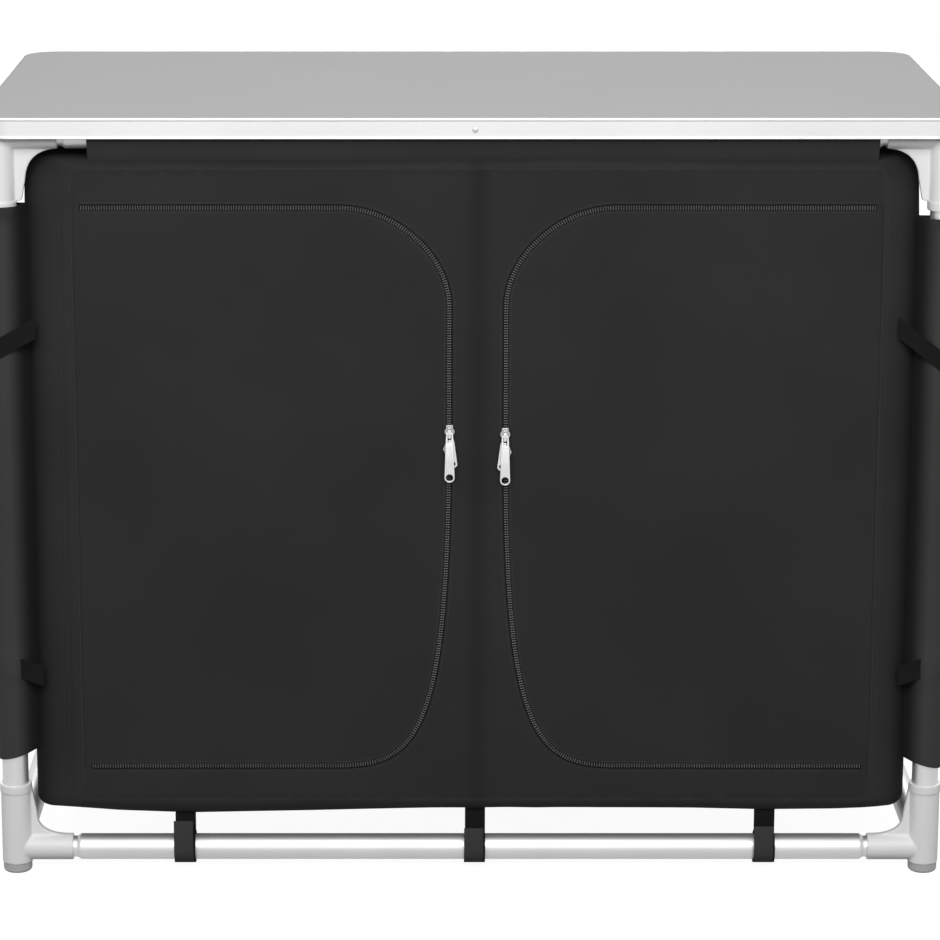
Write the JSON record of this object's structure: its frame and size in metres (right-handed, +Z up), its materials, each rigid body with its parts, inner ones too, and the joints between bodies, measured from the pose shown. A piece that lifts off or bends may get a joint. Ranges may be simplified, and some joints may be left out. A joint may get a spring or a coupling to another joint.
{
  "type": "camping kitchen unit",
  "caption": "Waist-high camping worktop on a knock-down tube frame, with a fabric cabinet hung inside that opens by two zipped, D-shaped door flaps.",
  "frame": {"origin": "on the floor, under the middle of the unit", "axes": "+X to the right as one faces the doors, +Y towards the back, +Z up"},
  "size_m": [1, 0.5, 0.8],
  "materials": {
    "laminate": "grey laminate, satin",
    "aluminium": "mill finish tube and profile",
    "grey_plastic": "light grey moulded",
    "foot_plastic": "grey moulded, soft tread",
    "charcoal_fabric": "charcoal woven polyester",
    "black_webbing": "black woven webbing",
    "shelf_board": "fabric-covered stiff board",
    "zip_coil": "black coil",
    "zip_metal": "bright plated"
  },
  "bodies": {
    "frame_and_cabinet": {"top_corner_front_left": "grey_plastic", "bottom_corner_front_left": "grey_plastic", "foot_front_left": "foot_plastic", "leg_front_left": "aluminium", "leg_sleeve_front_left": "charcoal_fabric", "top_corner_front_right": "grey_plastic", "bottom_corner_front_right": "grey_plastic", "foot_front_right": "foot_plastic", "leg_front_right": "aluminium", "leg_sleeve_front_right": "charcoal_fabric", "top_corner_rear_left": "grey_plastic", "bottom_corner_rear_left": "grey_plastic", "foot_rear_left": "foot_plastic", "leg_rear_left": "aluminium", "leg_sleeve_rear_left": "charcoal_fabric", "top_corner_rear_right": "grey_plastic", "bottom_corner_rear_right": "grey_plastic", "foot_rear_right": "foot_plastic", "leg_rear_right": "aluminium", "leg_sleeve_rear_right": "charcoal_fabric", "top_rail_front": "aluminium", "top_rail_rear": "aluminium", "top_rail_left": "aluminium", "top_rail_right": "aluminium", "bottom_rail_front": "aluminium", "bottom_rail_rear": "aluminium", "bottom_rail_left": "aluminium", "bottom_rail_right": "aluminium", "hem_sleeve_front": "charcoal_fabric", "bottom_strap_front_left": "black_webbing", "bottom_strap_front_centre": "black_webbing", "bottom_strap_front_right": "black_webbing", "hem_sleeve_rear": "charcoal_fabric", "bottom_strap_rear_left": "black_webbing", "bottom_strap_rear_centre": "black_webbing", "bottom_strap_rear_right": "black_webbing", "tie_strap_upper_left": "black_webbing", "tie_strap_upper_right": "black_webbing", "tie_strap_lower_left": "black_webbing", "tie_strap_lower_right": "black_webbing", "cabinet_top": "charcoal_fabric", "cabinet_floor": "charcoal_fabric", "cabinet_side_left": "charcoal_fabric", "cabinet_side_right": "charcoal_fabric", "cabinet_back": "charcoal_fabric", "cabinet_front": "charcoal_fabric", "cabinet_divider": "charcoal_fabric", "shelf_left": "shelf_board", "shelf_right": "shelf_board"},
    "tabletop": {"tabletop_board": "laminate", "tabletop_edge_profile": "aluminium", "edge_joint_rivet": "aluminium"},
    "left_door": {"door_left": "charcoal_fabric", "zip_chain_left": "zip_coil"},
    "right_door": {"door_right": "charcoal_fabric", "zip_chain_right": "zip_coil"},
    "left_slider": {"zip_slider_left": "zip_metal"},
    "right_slider": {"zip_slider_right": "zip_metal"},
    "left_pull": {"zip_pull_left": "zip_metal"},
    "right_pull": {"zip_pull_right": "zip_metal"}
  },
  "joints": [
    {"name": "tabletop_lift", "type": "slide", "parent": "frame_and_cabinet", "child": "tabletop", "axis": [0, 0, 1], "range_m": [0, 0.1]},
    {"name": "left_door_hinge", "type": "hinge", "parent": "frame_and_cabinet", "child": "left_door", "pos_m": [-0.3965, -0.24, 0.4135], "axis": [0, 0, -1], "range_deg": [0, 140]},
    {"name": "right_door_hinge", "type": "hinge", "parent": "frame_and_cabinet", "child": "right_door", "pos_m": [0.4085, -0.24, 0.4135], "axis": [0, 0, 1], "range_deg": [0, 140]},
    {"name": "left_slider_travel", "type": "slide", "parent": "left_door", "child": "left_slider", "axis": [0, 0, 1], "range_m": [-0.045, 0.125]},
    {"name": "right_slider_travel", "type": "slide", "parent": "right_door", "child": "right_slider", "axis": [0, 0, 1], "range_m": [-0.045, 0.125]},
    {"name": "left_pull_swing", "type": "hinge", "parent": "left_slider", "child": "left_pull", "pos_m": [-0.0223, -0.24575, 0.4765], "axis": [-1, 0, 0], "range_deg": [0, 150]},
    {"name": "right_pull_swing", "type": "hinge", "parent": "right_slider", "child": "right_pull", "pos_m": [0.0343, -0.24575, 0.4735], "axis": [-1, 0, 0], "range_deg": [0, 150]}
  ]
}
